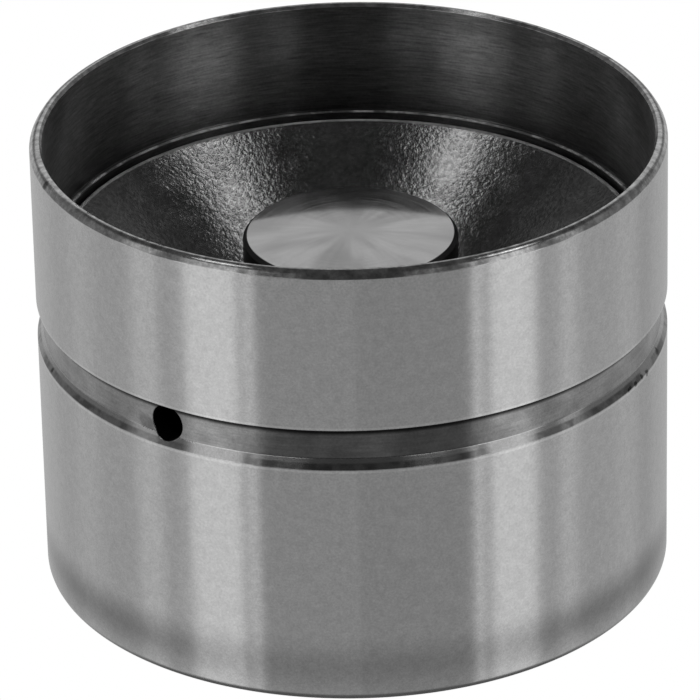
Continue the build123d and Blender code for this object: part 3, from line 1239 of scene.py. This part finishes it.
        def lip(end: tuple[np.ndarray, np.ndarray], sign: float) -> tuple[np.ndarray, np.ndarray]:
            """Rounded end of the hole: the edge sinks by edge * (1 - cos b) and narrows by edge * sin b.

            Args:
                end: places and normals round the mouth.
                sign: one at the outer wall, less than nought at the inner.

            Returns:
                Places and normals of the rounding's rings.
            """
            bend = np.radians(self.hole_bends)[:, None, None]
            axis = np.array([-sign, 0, 0])
            places = end[0] + self.hole_edge * ((1 - np.cos(bend)) * axis + np.sin(bend) * inwards)
            normals = end[1] * np.cos(bend) + inwards * np.sin(bend)
            return places, normals

        outer_lip = lip((outer_rings[0][-1], outer_rings[1][-1]), 1.0)
        inner_lip = lip((inner_rings[0][-1], inner_rings[1][-1]), -1.0)
        places = np.concatenate([outer_rings[0], outer_lip[0], inner_lip[0][::-1], inner_rings[0][::-1]])
        normals = np.concatenate([outer_rings[1], outer_lip[1], inner_lip[1][::-1], inner_rings[1][::-1]])
        number = skin.add((places @ spin.T)[:, :-1], (normals @ spin.T)[:, :-1])
        number = np.hstack([number, number[:, :1]])
        step = np.arange(len(number) + 1) - self.patch_rings
        bends = len(self.hole_bends)
        beyond = np.where(step <= 2 * bends, ShellSlot.HOLE, ShellSlot.BORE)
        slots = np.where(step < bends, ShellSlot.GROOVE, beyond)
        skin.weave(np.vstack([outer_edge[None, :], number, inner_edge[None, :]]), slots)
        heights = np.vstack(skin.points)[skin.faces[-1]][:, :, 2].mean(axis=1)
        on_flank = heights < self.groove_floor_low - self.patch_margin
        on_flank &= skin.slots[-1] == ShellSlot.GROOVE
        skin.slots[-1] = np.where(on_flank, ShellSlot.GROUND, skin.slots[-1])

    def sink_slot(self, skin: Skin, body: Outline) -> None:
        """Sinks the oil slot into the crown's underside: depth times a soft step of the way to its middle.

        Args:
            skin: the skin, whose vertices on the underside sink.
            body: the outline of the turned vertices.
        """
        level = np.abs(body.points[:, 1] - self.crown) < TINY
        floor = np.flatnonzero(level & (body.points[:, 0] < self.underside_reach))
        end = self.slot_reach - self.slot_width / 2
        for points in skin.points:
            radius = np.hypot(points[:, 0], points[:, 1])
            on_floor = np.abs(points[:, 2] - self.crown) < TINY
            on_floor &= radius < body.points[floor[0], 0] + TINY
            along, across = self.hole_parts(points)
            away = np.hypot(across, along - np.clip(along, 0, end))
            share = np.clip((self.slot_width / 2 - away) / self.slot_softness + 0.5, 0, 1)
            points[:, 2] -= np.where(on_floor, share * share * (3 - 2 * share) * self.slot_depth, 0)


@dataclass
class GuideWeb(Assembly):
    """The dark funnel with its collar in the skirt and its sleeve round the inner housing."""

    body = Body.BUCKET
    node = "guide_web"
    slot = "phosphated_steel"
    finishes = ("phosphate",)

    seat_radius: float = 16.25
    rim_height: float = 19.13
    edge_round: float = 0.3
    slope: float = 37.0
    thickness: float = 0.9
    collar_thickness: float = 0.9
    collar_height: float = 2.2
    collar_round: float = 0.3
    collar_edge: float = 0.05
    throat_round: float = 1.0
    sleeve_bore: float = 5.98
    sleeve_wall: float = 0.95
    sleeve_end: float = 6.95
    sleeve_chamfer: float = 0.2
    spacing: float = 0.8

    def cone_height(self, radius: float) -> float:
        """Height of the funnel's upper face: the edge's tangent point less run times the slope's tangent.

        Args:
            radius: the distance from the axis.

        Returns:
            The height.
        """
        slope = math.radians(self.slope)
        tangent_radius = self.seat_radius - self.edge_round - self.edge_round * math.sin(slope)
        tangent_height = self.rim_height - self.edge_round * (1 - math.cos(slope))
        return tangent_height - (tangent_radius - radius) * math.tan(slope)

    def build(self) -> Piece:
        """Makes the web as one closed turned skin."""
        below = self.thickness / math.cos(math.radians(self.slope))
        outer = self.sleeve_bore + self.sleeve_wall
        inner = self.seat_radius - self.collar_thickness
        cut, end = self.sleeve_chamfer, self.sleeve_end
        corners = [
            Corner(self.seat_radius, self.rim_height - self.collar_height, self.collar_edge),
            Corner(self.seat_radius, self.cone_height(self.seat_radius), self.edge_round),
            Corner(self.sleeve_bore, self.cone_height(self.sleeve_bore), self.throat_round),
            Corner(self.sleeve_bore, end + cut),
            Corner(self.sleeve_bore + cut, end),
            Corner(outer - cut, end),
            Corner(outer, end + cut),
            Corner(outer, self.cone_height(outer) - below, self.throat_round),
            Corner(inner, self.cone_height(inner) - below, self.collar_round),
            Corner(inner, self.rim_height - self.collar_height, self.collar_edge),
        ]
        outline = rounded_outline(corners, closed=True).subdivided(self.spacing)
        skin = Skin()
        rows = turned_rows(skin, outline.part(0, -1), circle_angles())
        skin.weave(np.vstack([rows, rows[:1]]))
        return skin.mesh("guide_web_skin")


@dataclass
class InnerHousing(Assembly):
    """The closed cylinder in the middle, with its faintly crowned end face and the ring's groove."""

    body = Body.HOUSING
    node = "inner_housing"
    slot = "turned_steel"
    finishes = ("painted_shade_steel", "faced_steel")

    radius: float = 5.95
    face_height: float = 19.91
    crown_radius: float = 102.0
    face_rings: int = 40
    edge_chamfer: float = 0.22
    edge_round: float = 0.05
    face_share: float = 0.6
    bore_radius: float = 4.52
    bore_end: float = 17.31
    bore_corner: float = 0.5
    mouth_height: float = 5.7
    mouth_chamfer: float = 0.25
    groove: tuple[float, float] = (6.07, 6.83)
    groove_radius: float = 5.63

    def build(self) -> Piece:
        """Makes the housing; its end face drops by r * r / (2 * crown radius) at radius r."""
        top, edge = self.face_height, self.edge_chamfer
        low, high = self.groove
        face = np.linspace(self.radius - edge, 0, self.face_rings)[1:]
        rim_drop = (self.radius - edge) ** 2 / (2 * self.crown_radius)
        crown = [Corner(float(r), top - float(r) ** 2 / (2 * self.crown_radius)) for r in face]
        corners = [
            Corner(0, self.bore_end),
            Corner(self.bore_radius, self.bore_end, self.bore_corner),
            Corner(self.bore_radius, self.mouth_height + self.mouth_chamfer),
            Corner(self.bore_radius + self.mouth_chamfer, self.mouth_height),
            Corner(self.radius - self.mouth_chamfer, self.mouth_height),
            Corner(self.radius, self.mouth_height + self.mouth_chamfer),
            Corner(self.radius, low),
            Corner(self.groove_radius, low),
            Corner(self.groove_radius, high),
            Corner(self.radius, high),
            Corner(self.radius, top - rim_drop - edge, self.edge_round),
            Corner(self.radius - edge, top - rim_drop, self.edge_round),
            *crown,
        ]
        outline = rounded_outline(corners)
        skin = Skin()
        body = outline.part(1, -1)
        rows = turned_rows(skin, body, circle_angles())
        on_face = body.points[:-1, 1] > top - rim_drop - edge * self.face_share
        skin.weave(rows, np.where(on_face, HousingSlot.FACE, HousingSlot.SIDE))
        close_poles(skin, outline, rows, (HousingSlot.SIDE, HousingSlot.FACE))
        return skin.mesh("inner_housing_skin")


@dataclass(frozen=True)
class ShorteningSpring:
    """A hidden coil spring, with its joint, the travel in mm and the end that stays."""

    node: str
    joint: str
    travel: float
    top_stays: bool = False

    def follow(self) -> None:
        """Reads the spring's bounds and gives the spring its own copy of its mesh."""
        low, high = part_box(self.node)
        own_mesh(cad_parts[self.node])


@dataclass(frozen=True)
class HydraulicElement:
    """The pieces inside the housing: they keep their CAD meshes and get finishes, and the springs get their
    own mesh copies.
    """

    finishes: tuple[tuple[str, str], ...] = (
        ("retaining_ring", "drawn_wire"), ("plunger", "plain_steel"), ("check_ball", "polished_ball"),
        ("ball_retainer", "pressed_sheet"), ("ball_spring", "drawn_wire"), ("return_spring", "drawn_wire"),
    )
    springs: tuple[ShorteningSpring, ...] = (
        ShorteningSpring("return_spring", "housing_slide", 2.6),
        ShorteningSpring("ball_spring", "ball_lift", 0.3, top_stays=True),
    )

    def make(self, materials: dict[str, Material]) -> None:
        """Dresses the CAD pieces and gives each spring its own copy of its mesh.

        Args:
            materials: all materials by name.
        """
        for node, finish in self.finishes:
            dress(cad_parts[node], [materials[finish]])
            LOG.info("%s: %s on the CAD mesh", node, finish)
        for spring in self.springs:
            spring.follow()


@dataclass(frozen=True)
class Sky:
    """The world's sheet with the direction asked for: as a vector, in degrees round, and its height."""

    sheet: Sheet
    direction: Socket
    degrees: Socket
    height: Socket

    def around(self, start: float, end: float, edge: float) -> Socket:
        """One between two angles round, with ends as soft as an edge."""
        return self.sheet.window(self.degrees, (start - edge, start + edge), (end - edge, end + edge))


@dataclass(frozen=True)
class Panel:
    """A tall soft panel: the angles round between which it stands, its level and its edge's softness."""

    lit_from: ClassVar[float] = 0.65

    start: float
    end: float
    level: float
    edge: float = 0.8

    @property
    def bright(self) -> bool:
        """Whether the panel is lit and so reaches up beside the others' dark upper parts."""
        return self.level > self.lit_from

    def mask(self, sky: Sky) -> Socket:
        """One on the panel."""
        return sky.around(self.start, self.end, self.edge)


@dataclass(frozen=True)
class Strip:
    """A soft strip of light: its angles round and up, its level and its edges' softness round and up."""

    start: float
    end: float
    low: float
    high: float
    level: float
    edge: float = 3.0
    edge_up: float = 2.0

    def mask(self, sky: Sky) -> Socket:
        """One on the strip."""
        rise, fall = (sines((angle - self.edge_up, angle + self.edge_up)) for angle in (self.low, self.high))
        across = sky.around(self.start, self.end, self.edge)
        return sky.sheet.math("MULTIPLY", across, sky.sheet.window(sky.height, rise, fall))


@dataclass(frozen=True)
class Lamp:
    """A round soft lamp far off: angles round and up, level, reach and the share of it at full level."""

    around: float
    up: float
    level: float
    reach: float
    core: float = 0.4

    def mask(self, sky: Sky) -> Socket:
        """One on the lamp, by the cosine of the angle from its middle, between those of reach and core."""
        around, up = math.radians(self.around), math.radians(self.up)
        middle = math.cos(up) * math.cos(around), math.cos(up) * math.sin(around), math.sin(up)
        nearness = sky.sheet.measure("DOT_PRODUCT", sky.direction, middle)
        ends = (math.cos(math.radians(angle)) for angle in (self.reach, self.reach * self.core))
        return sky.sheet.spread(nearness, *ends)


@dataclass(frozen=True)
class Studio:
    """Camera, floor and light: a pale floor, soft panels either side of the camera, strips and high lamps.

    Angles round start at +X and run to +Y, and angles up start level. The pairs named between are the angles
    up over which the light changes: near level from panels to the upper ring, then to the dark overhead, and
    low down to a plain level and to the floor's.
    """

    aim: tuple[float, float, float] = (-0.1678, 0.0, 12.448)
    distance: float = 357.88
    elevation: float = 27.274
    roll: float = -1.253
    focal_pixels: float = 6418.97
    picture: int = 700
    sensor: float = 36.0
    clip: tuple[float, float] = (0.01, 20.0)
    floor_size: float = 4000.0
    floor_grey: float = 0.75
    overhead: float = 0.06
    darkens_between: tuple[float, float] = (33.0, 43.0)
    base: float = 0.505
    above: tuple[tuple[float, float], ...] = (
        (0, 0.17), (50, 0.16), (66, 0.17), (114, 0.17), (130, 0.16), (180, 0.17), (206, 0.15), (238, 0.06),
        (270, 0.05), (308, 0.07), (342, 0.18),
    )
    changes_between: tuple[float, float] = (-8.0, 8.0)
    panel_fade: float = 0.72
    evens_between: tuple[float, float] = (-29.5, -26.0)
    evens: float = 0.1
    floor_fades_between: tuple[float, float] = (-58.0, -33.0)
    floor_level: float = 0.12
    panels: tuple[Panel, ...] = (
        Panel(79.5, 101.0, 0.61, 2.5), Panel(101.0, 130.0, 0.54, 2.5), Panel(147.0, 162.0, 0.58, 1.6),
        Panel(183.5, 195.5, 0.70, 2.2), Panel(202.0, 207.0, 0.57, 0.8), Panel(207.4, 227.8, 0.95, 0.7),
        Panel(227.8, 230.4, 0.60, 0.5), Panel(230.4, 234.4, 0.76, 0.6), Panel(235.2, 270.0, 0.40, 1.4),
        Panel(270.0, 312.4, 0.36, 1.4), Panel(313.8, 316.6, 0.86, 0.6), Panel(316.6, 319.8, 0.58, 0.6),
        Panel(320.4, 339.2, 0.95, 0.7), Panel(349.8, 358.5, 0.69, 1.6), Panel(21.0, 35.0, 0.57, 3.0),
        Panel(37.0, 50.0, 0.45, 2.5),
    )
    strips: tuple[Strip, ...] = (
        Strip(58.0, 122.0, 18.0, 35.0, 0.56), Strip(311.0, 336.0, 8.0, 25.0, 1.25, 9.0),
        Strip(214.0, 232.0, 8.0, 25.0, 1.35, 9.0), Strip(234.0, 252.0, 19.0, 26.0, 1.2, 4.0),
        Strip(289.0, 304.0, 19.0, 26.0, 1.1, 4.0),
    )
    lamps: tuple[Lamp, ...] = (Lamp(3.0, 60.0, 2.6, 8.0), Lamp(186.0, 64.5, 2.4, 8.0))

    def camera(self) -> None:
        """Places the camera: forward is (0, cos e, -sin e), turned about itself by the roll."""
        tilt, roll = math.radians(self.elevation), math.radians(self.roll)
        ahead = Vector((0, math.cos(tilt), -math.sin(tilt)))
        right = Vector((1, 0, 0))
        up = right.cross(ahead)
        across = right * math.cos(roll) + up * math.sin(roll)
        rise = up * math.cos(roll) - right * math.sin(roll)
        place = (Vector(self.aim) - ahead * self.distance) * MM
        data = bpy.data.cameras.new("camera")
        data.sensor_width = self.sensor
        data.lens = self.focal_pixels * self.sensor / self.picture
        data.clip_start, data.clip_end = self.clip
        camera = new_object("camera", data)
        turned = Matrix((across, rise, -ahead)).transposed().to_4x4()
        camera.matrix_world = Matrix.Translation(place) @ turned
        bpy.context.scene.camera = camera

    def floor(self) -> None:
        """Lays a pale matt floor that the camera sees as white."""
        half = self.floor_size / 2 * MM
        corners = [(x * half, y * half, 0) for x, y in ((-1, -1), (1, -1), (1, 1), (-1, 1))]
        data = bpy.data.meshes.new("floor")
        data.from_pydata(corners, [], [(0, 1, 2, 3)])
        material = bpy.data.materials.new("pale_floor")
        material.use_nodes = True
        sheet = Sheet(material.node_tree)
        matt = sheet.node("ShaderNodeBsdfDiffuse", grey(self.floor_grey))
        white = sheet.node("ShaderNodeEmission", grey(1.0))
        seen = sheet.node("ShaderNodeLightPath").outputs["Is Camera Ray"]
        mix = sheet.node("ShaderNodeMixShader", seen, matt.outputs[0], white.outputs[0])
        sheet.node("ShaderNodeOutputMaterial", mix.outputs[0])
        data.materials.append(material)
        floor = new_object("floor", data)
        floor.visible_glossy = False

    def upper_ring(self, sheet: Sheet, turn: Socket) -> Socket:
        """Light levels all round above the panels, straight between the given angles.

        Args:
            sheet: the world's sheet.
            turn: the angle round, from nought to one.

        Returns:
            The level as a colour.
        """
        ramp = sheet.node("ShaderNodeValToRGB", turn)
        stops = ramp.color_ramp.elements
        for index, (angle, level) in enumerate(self.above):
            stop = stops[0] if index == 0 else stops.new(angle / FULL_TURN)
            stop.color = grey(level)
        stops[len(stops) - 1].color = grey(self.above[0][1])
        return ramp.outputs[0]

    def light(self) -> None:
        """Lights the scene by direction: surroundings, panels, strips and lamps, and white for the camera."""
        world = bpy.data.worlds.new("studio")
        bpy.context.scene.world = world
        world.use_nodes = True
        sheet = Sheet(world.node_tree)
        direction = sheet.node("ShaderNodeTexCoord").outputs["Generated"]
        x, y, z = sheet.split(direction)
        turn = sheet.math("DIVIDE", sheet.math("ARCTAN2", y, x), 2 * math.pi)
        turn = sheet.math("FRACT", sheet.math("ADD", turn, 1.0))
        sky = Sky(sheet, direction, sheet.math("MULTIPLY", turn, FULL_TURN), z)
        near: object = grey(self.base)
        upper: object = self.upper_ring(sheet, turn)
        for panel in self.panels:
            mask = panel.mask(sky)
            near = sheet.blend(mask, near, grey(panel.level))
            if panel.bright:
                upper = sheet.blend(mask, upper, grey(panel.level * self.panel_fade))
        even = sheet.spread(z, *sines(self.evens_between), self.evens, 0.0)
        near = sheet.blend(even, near, grey(self.base))
        floor = sheet.spread(z, *sines(self.floor_fades_between), 1.0, 0.0)
        near = sheet.blend(floor, near, grey(self.floor_level))
        around = sheet.blend(sheet.spread(z, *sines(self.changes_between)), near, upper)
        high = sheet.spread(z, *sines(self.darkens_between))
        around = sheet.blend(high, around, grey(self.overhead))
        for source in (*self.strips, *self.lamps):
            around = sheet.blend(source.mask(sky), around, grey(source.level))
        seen = sheet.node("ShaderNodeLightPath").outputs["Is Camera Ray"]
        background = sheet.node("ShaderNodeBackground", sheet.blend(seen, around, grey(1.0)))
        sheet.node("ShaderNodeOutputWorld", background.outputs[0])

    def make(self) -> None:
        """Sets camera, floor, light and the plain view transform."""
        self.camera()
        self.floor()
        self.light()
        bpy.context.scene.view_settings.view_transform = "Standard"
        counts = len(self.panels), len(self.strips), len(self.lamps)
        LOG.info("studio: %d panels, %d strips, %d lamps", *counts)


def main() -> None:
    """Builds the tappet's looks in order."""
    logging.basicConfig(level=logging.INFO, format="%(name)s: %(message)s")
    effects = Effects()
    materials = {finish.name: finish.material(effects) for finish in FINISHES}
    for part in (BucketShell(), GuideWeb(), InnerHousing(), HydraulicElement()):
        part.make(materials)
    Studio().make()


if __name__ == "__main__":
    main()
